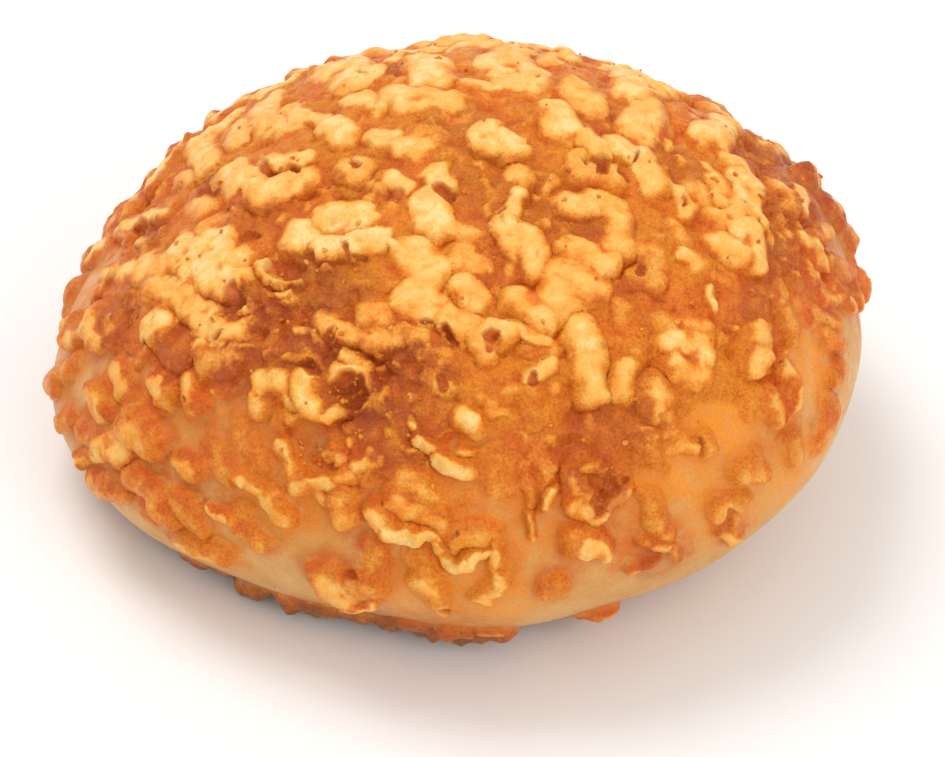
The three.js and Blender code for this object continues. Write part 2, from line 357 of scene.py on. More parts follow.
        [34, -49, 35, -51.5, 3.4, 1.2, 0.75],
        [36, -52.5, 39, -53, 3, 1.1, 0.6],
        [41, -51, 43, -53, 3.6, 1.1, 0.45],
        [31, -54, 33, -55.5, 4, 0.9, 0.15],
    ],
    "lower": [
        [-61, -48, -57, -54, 4.6, 1.3, 0.3],
        [-58, -53, -56, -59, 4.6, 1.3, 0.25],
        [-63, -53, -62, -57, 3, 0.9, 0.3],
        [-52, -57, -50.5, -62, 5, 1.2, 0.25],
        [-59, -66, -55, -68, 5, 1.2, 0.65],
        [-55, -69, -50, -71, 6, 1.2, 0.55],
        [-49, -49.5, -47, -51.5, 4.2, 1.0, 0.55],
        [-46, -60, -43, -63.5, 2.6, 1.1, 0.9],
        [-43, -63.5, -40.5, -66, 2.6, 1.0, 0.75],
        [-40, -65, -38, -70, 4.2, 1.1, 0.3],
        [-38, -55.5, -35, -59, 2.8, 1.3, 0.95],
        [-35, -59.5, -32.5, -61, 3.4, 1.2, 0.7],
        [-33, -62, -30, -66, 4, 1.2, 0.6],
        [-28.5, -53, -27, -59, 3, 1.3, 0.65],
        [-27, -61, -21, -60.5, 3.4, 1.3, 0.7],
        [-21, -56, -19, -57, 2.4, 0.9, 0.75],
        [-24, -62.5, -22, -64, 3, 0.9, 0.5],
        [-16, -58.5, -12, -58, 3, 1.2, 0.75],
        [-19, -60, -15, -60.5, 3, 1.0, 0.45],
        [-19, -64, -18.5, -67, 5.2, 1.3, 0.45],
        [-6.8, -52.5, -5.6, -54.5, 1.6, 1.2, 0.75],
        [-5, -55.5, -2, -58, 3.4, 1.6, 0.95],
        [-1, -59.5, 2, -61, 4.4, 1.7, 0.95],
        [1.5, -52.5, 4, -53.5, 4, 1.3, 0.95],
        [2.5, -57.5, 4, -58.5, 1.6, 0.9, 0.8],
        [-13, -67.5, -10, -70.5, 3.6, 1.6, 1.0],
        [-10, -71, -6, -72.8, 3.2, 1.6, 1.0],
        [-6, -72.8, -2.5, -73, 2.8, 1.5, 0.9],
        [-9, -66, -4, -68.5, 5, 1.1, 0.55],
        [-3, -69, -1, -71, 4, 1.2, 0.5],
        [1, -72.5, 6, -72.5, 5.5, 1.4, 0.4],
        [-2.5, -74, 1, -77.5, 2.4, 1.5, 0.95],
        [1, -77.5, 4, -77.4, 2.4, 1.4, 0.85],
        [4, -77.2, 8, -75.6, 2.2, 1.3, 0.8],
        [8.5, -74.5, 9.8, -79, 2.2, 1.4, 0.9],
        [9.8, -79, 9, -83.5, 2.4, 1.2, 0.85],
        [8, -83, 7, -86, 3, 1.0, 0.7],
        [-4, -80.5, -2, -84, 5, 1.5, 0.65],
        [-7, -76, -5, -78, 4, 0.8, 0.15],
        [-2.5, -86.5, -1, -88, 3.2, 1.0, 0.55],
        [-25, -80, -22, -84, 6, 1.5, 0.6],
        [-19, -82, -15, -82, 5.5, 1.4, 0.3],
        [-24, -87.5, -16, -86.5, 3.4, 1.3, 0.85],
        [-8, -62, -4, -65, 4.5, 0.9, 0.4],
        [12.5, -58.5, 16, -60, 2.6, 1.0, 0.3],
        [12.6, -60, 13, -67, 2.2, 0.9, 0.25],
        [17.3, -63.7, 15.6, -67.8, 1.8, 1.3, 1.0],
        [13.4, -68.6, 15, -71.4, 1.9, 1.1, 0.55],
        [20, -61, 22, -65, 4, 1.2, 0.6],
        [21.5, -66, 25, -68.6, 3, 1.3, 0.65],
        [25.5, -68.4, 28.8, -62.5, 2, 1.3, 0.7],
        [20, -60.5, 26, -60.5, 2.6, 0.9, 0.4],
        [24.5, -73, 28, -73, 4.8, 1.7, 1.0],
        [21.6, -70.5, 22.5, -74.5, 3, 1.3, 0.3],
        [20, -83, 22, -82, 4.5, 1.1, 0.15],
        [33, -63, 37, -66, 4, 1.1, 0.5],
        [37.5, -67, 40, -69, 3.6, 1.0, 0.45],
        [37, -72, 41, -70.5, 2.4, 1.0, 0.45],
        [43, -71, 46, -73.5, 3, 0.9, 0.3],
        [36, -77, 40, -74.5, 2.4, 0.9, 0.35],
        [50, -62, 54, -61, 4, 1.0, 0.4],
        [53.5, -66, 59, -67, 3, 1.0, 0.65],
        [51.5, -54, 54, -53, 5, 1.0, 0.4],
        [60, -47, 63, -49, 4, 0.8, 0.35],
        [7, -60, 8, -64, 5, 0.6, 0.3],
        [-42, -51, -38, -56, 6, 0.6, 0.15],
        [-35, -49, -34, -54, 6, 0.6, 0.2],
        [-14, -75, -13, -79, 4, 0.5, 0.3],
    ],
    "foot": [
        [-10, -111, -5, -112, 4, 1.6, 0.4],
        [-3, -112, 2, -112.5, 4.5, 1.9, 0.4],
        [4, -112, 9, -111.5, 4, 1.6, 0.35],
        [12, -111, 17, -110, 4, 1.5, 0.3],
        [-12, -107, -6, -108, 3.5, 1.2, 0.5],
        [0, -107, 6, -107.5, 3.5, 1.3, 0.5],
        [11, -106, 16, -105.5, 3, 1.1, 0.4],
        [-23, -109.5, -17, -110.5, 4, 1.4, 0.4],
        [44.5, -99, 47.5, -98, 4, 1.2, 0.45],
        [41, -101, 43, -100.5, 3, 0.8, 0.3],
        [-56, -96, -52, -98, 3.6, 1.3, 0.35],
        [-50, -100, -46, -102, 4, 1.6, 0.4],
        [-42, -103.5, -37, -105, 3.5, 1.3, 0.35],
        [-67, -90, -64, -92, 4, 1.5, 0.35],
        [-33, -106, -29, -107, 4, 1.3, 0.4],
    ],
}

# Burnt bits of cheese round the foot, where it stood on the tray
skirt = {
    "count": 130,
    "height": (0.1, 3.0),  # above the tray
    "reach": 2.5,  # half the length of the longest
    "width": (1.4, 4.4),
    "rise": (0.2, 1.3),
    "search": (90, 150),  # how far down the crust the foot is looked for
    "searchSteps": 121,
}

# Popped bubbles, torn holes and pits: from x, y to x, y, then width, depth and how brown inside
pits = [
    [-26.6, -2, -24.4, -5, 2, 1.3, 0.7],
    [-22.6, -4.4, -21.4, -5.8, 1.6, 0.8, 0.6],
    [-14, -7.3, -13.6, -7.8, 1.4, 1.0, 0.8],
    [18.7, -7.4, 19, -9, 1.8, 1.5, 0.9],
    [16.7, -8.7, 16.8, -9.2, 0.9, 0.9, 0.8],
    [22, -9.4, 22.3, -10.4, 1.4, 1.0, 0.8],
    [24, -4.2, 23.8, -6.2, 0.7, 0.9, 0.8],
    [6.4, -18.6, 6.6, -19.2, 1.4, 1.2, 0.8],
    [-2.2, -15.2, -1.4, -15.8, 2.4, 1.4, 0.9],
    [-9.4, -14, -8.8, -14.4, 2, 1.1, 0.8],
    [-30, -13.8, -29.4, -14, 1.8, 0.9, 0.5],
    [-25.6, -22, -24.4, -23, 3.6, 1.6, 0.55],
    [-16.4, -22.8, -15.6, -23.8, 1.1, 1.0, 0.7],
    [-14.6, -24.2, -12.8, -24.3, 0.8, 0.8, 0.7],
    [-21, -22, -20.8, -22.8, 1.3, 0.8, 0.7],
    [-33.2, -24.6, -32.6, -27, 2.8, 1.3, 0.95],
    [-31, -28, -30.6, -29.6, 1.8, 0.9, 0.8],
    [-36.8, -29.2, -36.4, -29.6, 1, 1.0, 0.6],
    [-36.2, -31.2, -35.2, -31.4, 0.9, 0.8, 0.6],
    [-43.8, -41, -43.4, -42.4, 1, 0.7, 0.5],
    [-18.6, -37.6, -18, -38.8, 3, 1.6, 1.0],
    [-23, -41, -22.6, -42, 2, 0.9, 0.9],
    [-17, -45, -15.8, -47.4, 3.8, 1.7, 0.75],
    [-29, -41.8, -28, -42.2, 0.9, 0.7, 0.6],
    [-1.5, -37.6, -0.4, -39.4, 1.6, 1.5, 0.95],
    [-4.6, -36, -2.6, -37, 1, 1.0, 0.8],
    [5.4, -40.3, 6.2, -40.5, 1.4, 1.2, 0.6],
    [11, -45.4, 11.3, -46.3, 1.1, 0.9, 0.8],
    [-1.6, -46, -1, -47.4, 1.6, 0.8, 0.7],
    [25.6, -26.4, 25.9, -26.7, 1.2, 0.9, 0.85],
    [32.1, -11.6, 32.3, -12.2, 0.9, 0.9, 0.8],
    [41.8, -8.4, 42, -8.6, 0.8, 0.7, 0.8],
    [35.9, -9, 36.1, -9.6, 0.8, 0.6, 0.7],
    [50.8, -2.2, 51.4, -2.8, 1.2, 0.8, 0.7],
    [41, 9.4, 42.6, 12, 0.8, 0.9, 0.7],
    [-14.2, 17.4, -13.6, 16, 0.9, 0.9, 0.6],
    [11, 23, 11.1, 22, 1, 0.8, 0.6],
    [-53, 4.4, -51.4, 2.6, 2, 1.2, 0.8],
    [-61.6, -8.2, -60.8, -8.8, 2, 1.1, 0.7],
    [51.4, -36, 51.8, -36.1, 0.9, 0.6, 0.8],
    [-24.6, -53.6, -23, -57, 5.6, 1.1, 0.25],
    [27.4, -62.6, 26.8, -65, 2.8, 1.3, 0.75],
    [25.4, -64.6, 25.2, -66, 1.8, 1.0, 0.7],
    [15.6, -66, 15.4, -66.6, 0.8, 0.8, 0.6],
    [-19.6, -80.6, -18, -80.4, 1.4, 0.9, 0.5],
    [-1.2, -86.6, -1, -87.4, 1.8, 1.1, 0.6],
    [0.8, -71.4, 1, -72, 0.8, 0.6, 0.6],
    [52.6, -63.6, 53.4, -65.4, 2, 0.8, 0.7],
    [40.5, -52, 40.8, -53, 0.9, 0.6, 0.7],
    [-49.6, -26.4, -49.2, -27.6, 1, 0.6, 0.5],
]

# Zones of colour on the crust: x, y, radius and strength
zones = {
    "toast": [
        [-22, -29, 9, 0.75],
        [-29, -34, 9, 0.8],
        [-19, -38, 6, 0.9],
        [-13, -47, 7, 0.9],
        [-8, -43, 7, 0.75],
        [-34, -26, 5, 0.8],
        [-9, -53, 7, 0.6],
        [-3, -47, 5, 0.5],
        [-36, 2, 3.6, 0.9],
        [-49, -2, 4, 0.6],
        [-9.5, 17, 2.2, 0.9],
        [-27, -8, 8, 0.35],
        [-12, -10, 6, 0.35],
        [4, -13, 8, 0.35],
        [12, -16, 6, 0.45],
        [17, -20, 3, 0.55],
        [5, -27, 6, 0.4],
        [48, -14, 7, 0.55],
        [50, -8, 5, 0.5],
        [58, 12, 13, 0.65],
        [46, 8, 5, 0.5],
        [-56, -18, 5, 0.5],
        [-44, -31, 5, 0.45],
        [46, -27, 5, 0.4],
        [24, -29, 5, 0.35],
        [26, -51, 7, 0.45],
        [22, -57, 6, 0.45],
        [43, -77, 5, 0.4],
        [30, -4, 6, 0.35],
        [0, -2, 6, 0.4],
        [20, 3, 5, 0.35],
        [1, -103, 9, 0.4],
        [-14, -103, 7, 0.4],
    ],
    "dough": [
        [-72, -27, 8, 1.0],
        [-78, -33, 6, 0.9],
        [-62, -60, 6, 0.9],
        [-54, -50, 5, 0.9],
        [-47, -55, 4, 0.6],
        [-44, -68, 6, 1.0],
        [-37, -74, 8, 1.0],
        [-31, -82, 7, 1.0],
        [-15, -73, 6, 0.7],
        [-11, -80, 6, 0.9],
        [-1, -63.5, 4, 0.5],
        [13, -77, 7, 0.8],
        [18, -70, 5, 0.7],
        [27, -79, 6, 0.8],
        [34, -84, 8, 0.9],
        [31, -69, 3.5, 0.6],
        [44, -60, 5, 0.7],
        [55, -46, 7, 0.7],
        [62, -38, 7, 0.8],
        [74, -30, 9, 1.0],
        [62, -62, 8, 1.0],
        [56, -74, 9, 1.0],
        [72, -20, 5, 0.8],
        [80, -12, 6, 0.8],
        [42, -35, 3, 0.4],
        [-24, -55, 4, 0.8],
        [40, -88, 9, 1.0],
        [-49, -47, 4, 0.7],
        [-46, -53, 5, 0.8],
        [-63, -50, 5, 0.8],
        [-67, -24, 5, 0.7],
        [-65, -35, 5, 0.6],
        [8, -67, 4, 0.6],
    ],
    "glaze": [
        [43, -46, 8, 1.0],
        [36, -58, 7, 0.8],
        [60, -33, 6, 0.8],
        [-53, -69, 7, 0.7],
        [4, -66, 8, 0.4],
        [50, -60, 8, 0.6],
        [-72, -12, 8, 0.5],
        [28, -40, 6, 0.3],
        [66, -52, 8, 0.6],
        [1, -90, 12, 0.8],
        [-31, -62, 8, 0.6],
        [12, -70, 8, 0.5],
        [28, -47, 6, 0.5],
    ],
}

coat = {
    # pairs hold for the crown, and low on the sides
    "spread": (1.2, 0.98),  # a shred's width at its foot against the width in the list
    "rise": (1.06, 1.3),
    "foot": (0.72, 0.95),  # how softly its side meets the crust
    "toneSlip": (0.25, -0.9),  # baked brown on its low side, or on its top
    "toneStart": (0.0, 0.42),
    "toneFade": (1.1, 1.15),
    "toneSpan": (0.74, 0.72),
    "crumbs": (0.36, 0.9),  # grains on the thin layer, for the plain and the toasted
    "lowSide": (38, 66),  # how far down the crust the crown ends and the low sides begin
    "edge": 2.5,  # how flat its back is
    "undercut": 0.25,  # how much steeper it is on its downhill side
    "slump": 0.25,  # how much higher it is there
    "follow": 0.3,  # how much of what lies under it shows through
    "roughShare": 0.34,  # how uneven its back is, coarsely and finely
    "fineShare": 0.13,
    "melt": 0.28,  # how softly shreds run together, in mm
    "overhang": 0.3,  # how far its side leans out over the crust, as a share of its rise
    "halo": 2.8,  # how far its oil has coloured the dough round it
    "sheets": 2.2,  # torn layers of the thin cheese, one over another
    "sheetStep": 0.32,
    "crumple": 0.56,  # the wrinkles of the thin layer between the shreds
    "grain": 0.07,  # the finest unevenness of all the cheese
    "filmThickness": 0.45,  # the thin melted layer between the shreds
    "filmReach": 61,  # how far down the crust it runs
    "filmRagged": 15,  # how uneven its lower edge is
    "filmFade": 3,
    "veilReach": 22,  # how much further its oil has run and coloured the crust
    "veilStreaks": 0.9,
    "burntCrust": (4.5, 1.5),  # the height at which browning by the tray begins, and is full
    "burntCheese": (8, 5),
    "pitDepth": 0.75,  # of the depth in the list
    "pitRim": 0.35,  # how far its rim stands up
    "seed": 20261,
    "backCount": 120,
    "backStart": 26,  # nearest to the top of the crown
    "backEnd": 88,
    "backEdge": 26,  # the back begins behind this line,
    "backEdgeTurn": 0.25,  # which comes forward by this share towards the sides
    "backLength": (1, 8),
    "backWidth": (3.2, 6.6),
    "backRise": (1.0, 1.8),
    "bumpCount": 340,  # low bumps and crumbs between the larger shreds
    "bumpEnd": 62,
    "bumpScatter": 5,
    "bumpReach": (0.2, 1.8),
    "bumpWidth": (1.5, 3.7),
    "bumpRise": 0.25,
    "bumpRiseByWidth": 0.22,
}


def seededRandom(seed):
    # the same small generator as the solid's own, so that the two agree
    factor, span = 16807, 2147483647
    while True:
        seed = (seed * factor) % span
        yield seed / span


def backShreds():
    # the side that the photograph doesn't show, covered evenly by the solid's own rule
    draw = seededRandom(coat["seed"])
    tone = seededRandom(coat["seed"] + 3)
    start, end = coat["backStart"], coat["backEnd"]
    rows = []
    for i in range(coat["backCount"]):
        bearing = math.pi * ((i * goldenTurn) % 1)
        spread = (i + 0.5) / coat["backCount"]
        distance = math.sqrt(start**2 + (end**2 - start**2) * spread)
        lie = math.pi * next(draw)
        reach = partWay(coat["backLength"], next(draw)) / 2
        x, y = distance * math.cos(bearing), distance * math.sin(bearing)
        dx, dy = reach * math.cos(lie), reach * math.sin(lie)
        width = partWay(coat["backWidth"], next(draw))
        rise = partWay(coat["backRise"], next(draw))
        pale = min(1, max(0.1, 1.15 - 0.9 * spread + 0.6 * (next(tone) - 0.5)))
        if y > coat["backEdge"] - coat["backEdgeTurn"] * abs(x):
            rows.append([x - dx, y - dy, x + dx, y + dy, width, rise, pale])
    return rows


def smallBumps():
    # low bumps and crumbs of cheese all over the thin layer, too many to list
    draw = seededRandom(coat["seed"] + 7)
    rows = []
    for i in range(coat["bumpCount"]):
        bearing = 2 * math.pi * ((i * goldenTurn) % 1)
        distance = coat["bumpEnd"] * math.sqrt((i + 0.5) / coat["bumpCount"])
        distance += coat["bumpScatter"] * (next(draw) - 0.5)
        lie = math.pi * next(draw)
        reach = partWay(coat["bumpReach"], next(draw) ** 2)
        x, y = distance * math.cos(bearing), distance * math.sin(bearing)
        dx, dy = reach * math.cos(lie), reach * math.sin(lie)
        width = partWay(coat["bumpWidth"], next(draw) ** 2)
        rise = coat["bumpRise"] + coat["bumpRiseByWidth"] * width * next(draw)
        pale = max(0.0, 0.85 * next(draw) - 0.006 * distance)
        rows.append([x - dx, y - dy, x + dx, y + dy, width, rise, pale])
    return rows


def skirtBits():
    # the burnt bits, each laid along the foot at its own height above the tray
    draw = seededRandom(coat["seed"] + 11)
    down = np.linspace(*skirt["search"], skirt["searchSteps"])
    rows = []
    for i in range(skirt["count"]):
        bearing = 2 * math.pi * ((i * goldenTurn) % 1)
        way = np.array([math.cos(bearing), math.sin(bearing)])
        level = crustPoints(placeDirections(down[:, None] * way))[:, 2]
        distance = down[np.argmax(level < partWay(skirt["height"], next(draw)))]
        reach = skirt["reach"] * next(draw) ** 2
        width = partWay(skirt["width"], next(draw) ** 2)
        rise = partWay(skirt["rise"], next(draw) ** 1.5)
        x, y = distance * way
        dx, dy = -reach * way[1], reach * way[0]
        rows.append([x - dx, y - dy, x + dx, y + dy, width, rise, 0.5 * next(draw)])
    return rows


listed = [row for rows in shreds.values() for row in rows]
shredRows = np.array(smallBumps() + listed + backShreds() + skirtBits(), float)
pitRows = np.array(pits, float)


def laidEnds(rows):
    return crustPoints(placeDirections(rows[:, 0:2])), crustPoints(placeDirections(rows[:, 2:4]))


shredStarts, shredEnds = laidEnds(shredRows)
pitStarts, pitEnds = laidEnds(pitRows)


class Crowd:
    # many points sorted into cubes, so that those near a place are found quickly
    cube = 5.0
    shift = 100  # keeps the cubes' numbers above nothing
    stride = 1000

    def __init__(self, points):
        self.points = points
        cells = self.cells(points)
        keys = (cells[:, 0] * self.stride + cells[:, 1]) * self.stride + cells[:, 2]
        self.order = np.argsort(keys)
        self.keys = keys[self.order]

    def cells(self, places):
        return np.floor(places / self.cube).astype(np.int64) + self.shift

    def within(self, middle, reach):
        low, high = self.cells(middle - reach), self.cells(middle + reach)
        found = []
        for x, y in itertools.product(range(low[0], high[0] + 1), range(low[1], high[1] + 1)):
            key = (x * self.stride + y) * self.stride
            first, last = np.searchsorted(self.keys, [key + low[2], key + high[2] + 1])
            found.append(self.order[first:last])
        near = np.concatenate(found)
        return near[np.linalg.norm(self.points[near] - middle, axis=1) < reach]

    def nearLine(self, start, end, reach):
        # the points within reach of a line, how far off they are, and which way
        along = end - start
        near = self.within((start + end) / 2, np.linalg.norm(along) / 2 + reach)
        share = np.clip((self.points[near] - start) @ along / max(along @ along, 1e-9), 0, 1)
        away = self.points[near] - start - share[:, None] * along
        return near, np.linalg.norm(away, axis=1), away


def zoneStrength(points, rows):
    strength = np.zeros(len(points))
    for x, y, radius, amount in rows:
        centre = crustPoints(placeDirections([x, y]))[0]
        share = np.linalg.norm(points - centre, axis=1) / radius
        strength = np.maximum(strength, amount * smoothStep(1.25, 0.45, share))
    return strength


def softHigher(low, high, softness):
    # the higher of two heights with the join between them rounded, and the share of the second
    share = np.clip(0.5 + 0.5 * (high - low) / softness, 0, 1)
    return low + (high - low) * share + softness * share * (1 - share), share


def byLevel(name, share):
    return partWay(coat[name], share)


def cheeseCoat(directions):
    # everything that lies on the bare crust at these directions
    points = crustPoints(directions)
    out = crustNormals(directions)
    downhill = out * out[:, 2:3] - [0, 0, 1]
    warp = np.stack([lumps(points, 3.4, s) for s in (1, 2, 3)], 1) * 0.9
    warp += np.stack([lumps(points, 1.5, s) for s in (4, 5, 6)], 1) * 0.5
    warped = points + warp
    crowd = Crowd(warped)
    rough = lumps(points, 2.4, 7)
    fine = lumps(points, 1.2, 8)
    wrinkle = 1 - 2.4 * np.abs(lumps(warped, 3.8, 11)) - 0.8 * np.abs(lumps(points, 1.7, 12))
    sheets = coat["sheets"] * (lumps(warped, 5, 13) + 0.45 * lumps(points, 2.1, 14))
    torn = np.floor(sheets) + smoothStep(0.36, 0.64, sheets - np.floor(sheets))

    angle = np.arccos(np.clip(directions[:, 2], -1, 1)) * roll["meanRadius"]
    ragged = lumps(points, 9, 9) * 0.7 + lumps(points, 4, 10) * 0.3
    beyond = angle - coat["filmReach"] - coat["filmRagged"] * 1.6 * ragged
    film = smoothStep(coat["filmFade"], -coat["filmFade"], beyond)
    streak = lumps(np.stack([points[:, 0], points[:, 1], 0.25 * points[:, 2]], 1), 3.2, 15)
    veil = smoothStep(0.85, 0.35, beyond / coat["veilReach"] + coat["veilStreaks"] * streak)
    bare = zoneStrength(warped, zones["dough"])
    film = film * (1 - smoothStep(0.2, 0.75, bare))
    veil = veil * (1 - 0.6 * bare)
    toast = zoneStrength(warped, zones["toast"])
    burnt = smoothStep(*coat["burntCrust"], points[:, 2] + 1.5 * rough)
    crumple = coat["crumple"] * film * (0.55 + toast)
    lift = coat["filmThickness"] * film + crumple * (0.8 * wrinkle + 0.4 * rough + 0.3 * fine)
    lift += coat["sheetStep"] * film * torn
    lift += 0.3 * burnt * (wrinkle + fine)
    crumbs = film * np.clip(1.7 * lumps(warped, 1.7, 16) + 0.5 * fine - 0.3, 0, 1)
    lift += crumbs * byLevel("crumbs", toast)

    pale = 0.5 * crumbs
    cheese = np.zeros(len(points))
    oil = np.zeros(len(points))
    lean = np.zeros_like(points)
    for row, start, end in zip(shredRows, shredStarts, shredEnds):
        lowness = smoothStep(*coat["lowSide"], math.hypot(row[0] + row[2], row[1] + row[3]) / 2)
        half = row[4] / 2 * byLevel("spread", lowness)
        near, distance, away = crowd.nearLine(start, end, half + coat["halo"] * lowness)
        share = distance / half
        slip = np.clip(np.sum(away * downhill[near], 1) / half, -1, 1)
        foot = byLevel("foot", lowness) - coat["undercut"] * slip
        body = np.clip(1 - share ** coat["edge"], 0, 1) ** foot
        slump = 1 + coat["slump"] * slip
        height = row[5] * byLevel("rise", lowness) * body * slump
        height *= 1 + coat["roughShare"] * rough[near] + coat["fineShare"] * fine[near]
        height += coat["follow"] * lift[near] * body
        height[share >= 1] = -1
        lift[near], chosen = softHigher(lift[near], height, coat["melt"] * (1 + lowness))
        chosen *= share < 1
        cheese[near] += (body - cheese[near]) * chosen
        browned = share + 0.16 * fine[near] + 0.14 * rough[near] + byLevel("toneSlip", lowness) * slip
        browned += byLevel("toneStart", lowness)
        fade = byLevel("toneFade", lowness)
        tone = row[6] + 0.2 * (1 - row[6]) * lowness
        ownTone = tone * smoothStep(fade, fade - byLevel("toneSpan", lowness), browned)
        pale[near] += (ownTone - pale[near]) * chosen
        side = away - np.sum(away * out[near], 1)[:, None] * out[near]
        push = np.exp(-(((share - 0.8) / 0.22) ** 2)) * height * coat["overhang"] * slump
        push[share >= 1] = 0
        lean[near] += (normalised(side) * push[:, None] - lean[near]) * chosen[:, None]
        ring = smoothStep(half + coat["halo"], half * 0.8, distance + 0.5 * fine[near] + 0.4 * slip)
        ring *= np.where(share < 1, smoothStep(0.3, 1.1, browned), 1)
        oil[near] = np.maximum(oil[near], ring * lowness)

    hole = np.zeros(len(points))
    for row, start, end in zip(pitRows, pitStarts, pitEnds):
        half, depth, brown = row[4] / 2, row[5], row[6]
        near, distance, away = crowd.nearLine(start, end, half * 1.8)
        share = distance / half * (1 + 0.3 * fine[near] + 0.2 * rough[near])
        lift[near] -= coat["pitDepth"] * depth * np.clip(1 - share**4, 0, 1) * (1 + 0.4 * fine[near])
        rim = np.exp(-(((share - 1.2) / 0.2) ** 2)) * cheese[near]
        lift[near] += coat["pitRim"] * rim
        pale[near] += 0.25 * rim * (1 - pale[near])
        hole[near] = np.maximum(hole[near], brown * smoothStep(1.15, 0.75, share))
        lean[near] *= smoothStep(0.8, 1.3, share)[:, None]

    lift += crustWave(points) + swelling(points) + coat["grain"] * fine * np.maximum(film, cheese)
    place = points + out * lift[:, None] + lean
    soft = roll["baseRounding"]
    place[:, 2] = 0.5 * (place[:, 2] + np.sqrt(place[:, 2] ** 2 + soft**2))
    marks = {
        "cheese": cheese,
        "pale": pale,
        "toast": np.clip(toast, 0, 1),
        "hole": hole,
        "film": film,
        "veil": veil,
        "oil": oil,
        "burnt": np.maximum(burnt, cheese * smoothStep(*coat["burntCheese"], points[:, 2])),
        "glaze": zoneStrength(points, zones["glaze"]),
        "mottle": 0.5 + 0.5 * lumps(points, 6, 17) + 0.2 * rough,
    }
    return place, marks


rollMesh = {
    "firstSplits": 5,
    "miss": 0.03,  # how far a straight edge may miss the surface, on the side that shows most
    "backMiss": 0.08,
    "backFrom": (10, 32),  # y at which the back begins, and is full
    "baseBelow": (1.2, 0.7),
    "shortest": 0.3,
    "longest": 1.5,
    "baseLongest": 6,
    "passes": 6,
    "mostTriangles": 196000,
}


def edgeNeeds(directions, place, ends):
    # above 1 where an edge is too long, or too straight for the surface that it spans
    first, second = place[ends[:, 0]], place[ends[:, 1]]
    length = np.linalg.norm(first - second, axis=1)
    straight = (first + second) / 2
    halfway, _ = cheeseCoat(normalised(directions[ends[:, 0]] + directions[ends[:, 1]]))
    outward = normalised(straight - [0, 0, roll["widestLevel"]])
    miss = np.abs(np.sum((halfway - straight) * outward, axis=1))
    back = smoothStep(*rollMesh["backFrom"], straight[:, 1])
    base = smoothStep(*rollMesh["baseBelow"], straight[:, 2])
    longest = partWay((rollMesh["longest"], rollMesh["baseLongest"]), base)
    allowed = partWay((rollMesh["miss"], rollMesh["backMiss"]), back)
    needs = np.maximum(length / longest, miss / allowed)
    needs[length < rollMesh["shortest"] * (1 + back)] = 0
    return needs


def refineSphere(bm):
    for number in range(rollMesh["passes"]):
        bm.verts.index_update()
        directions = normalised(np.array([v.co[:] for v in bm.verts]))
        place, _ = cheeseCoat(directions)
        ends = np.array([(e.verts[0].index, e.verts[1].index) for e in bm.edges])
        needs = edgeNeeds(directions, place, ends)
        room = (rollMesh["mostTriangles"] - len(bm.faces)) // 2
        order = np.argsort(-needs)[: max(room, 0)]
        chosen = set(order[needs[order] > 1].tolist())
        if not chosen:
            break
        long = [e for i, e in enumerate(bm.edges) if i in chosen]
        bmesh.ops.subdivide_edges(bm, edges=long, cuts=1)
        bmesh.ops.triangulate(bm, faces=[f for f in bm.faces if len(f.verts) > 3])
        for v in bm.verts:
            v.co.normalize()
        print(f"roll: pass {number + 1}, {len(bm.faces)} triangles")


def neighbourMean(values, ends, rounds):
    # values evened out over the mesh's edges
    count = np.bincount(ends.ravel(), minlength=len(values))
    for _ in range(rounds):
        total = np.bincount(ends[:, 0], values[ends[:, 1]], len(values))
        total += np.bincount(ends[:, 1], values[ends[:, 0]], len(values))
        values = 0.5 * values + 0.5 * total / np.maximum(count, 1)
    return values


def setMarks(mesh, marks):
    for name, values in marks.items():
        mark = mesh.attributes.new(name, "FLOAT", "POINT")
        mark.data.foreach_set("value", np.asarray(values, np.float32))


def hollows(mesh, place):
    # how far each point lies below what is round it, in mm
    ends = np.zeros(len(mesh.edges) * 2, np.int64)
    mesh.edges.foreach_get("vertices", ends)
    ends = ends.reshape(-1, 2)
    normals = np.zeros(len(mesh.vertices) * 3)
    mesh.vertices.foreach_get("normal", normals)
    normals = normals.reshape(-1, 3)
    around = np.stack([neighbourMean(place[:, i], ends, 12) for i in range(3)], 1)
    below = np.sum((around - place) * normals, axis=1)
    return neighbourMean(below, ends, 1)


def meshFrom(bm, name):
    mesh = bpy.data.meshes.new(name)
    bm.to_mesh(mesh)
    bm.free()
    return mesh


def addObject(name, data):
    made = bpy.data.objects.new(name, data)
    bpy.context.scene.collection.objects.link(made)
    return made


def buildRoll():
    bm = bmesh.new()
    bmesh.ops.create_icosphere(bm, subdivisions=rollMesh["firstSplits"], radius=1)
    refineSphere(bm)
    mesh = meshFrom(bm, "breadAndCheese")
    directions = np.zeros(len(mesh.vertices) * 3)
    mesh.vertices.foreach_get("co", directions)
    place, marks = cheeseCoat(normalised(directions.reshape(-1, 3)))
    mesh.vertices.foreach_set("co", (place * mm).ravel())
    mesh.update()
    # how deep each point lies in a hollow, which sets the painted shade in the creases
    marks["hollow"] = hollows(mesh, place)
    setMarks(mesh, marks)
    mesh.shade_smooth()
    return addObject("breadAndCheese", mesh)


flakes = {
    "looseCount": 170,  # chips and crumbs all over the cheese
    "reach": 68,
    "size": (0.2, 0.75),  # half their length
    "thickness": 0.3,
    "pitSize": (0.2, 0.6),
    "inPit": 0.9,  # crumbs in a popped bubble, for each square millimetre
    "inToast": 0.12,  # and on the toasted parts
    "leastFilm": 0.3,  # none lies where the thin layer is weaker than this
    "bareBelow": 30,  # and the crust is lower than this
    "ragged": (0.45, 1.2),  # how far out a chip's corners are, as a share of its size
    "standOff": 0.1,  # how far its middle is above the cheese
}


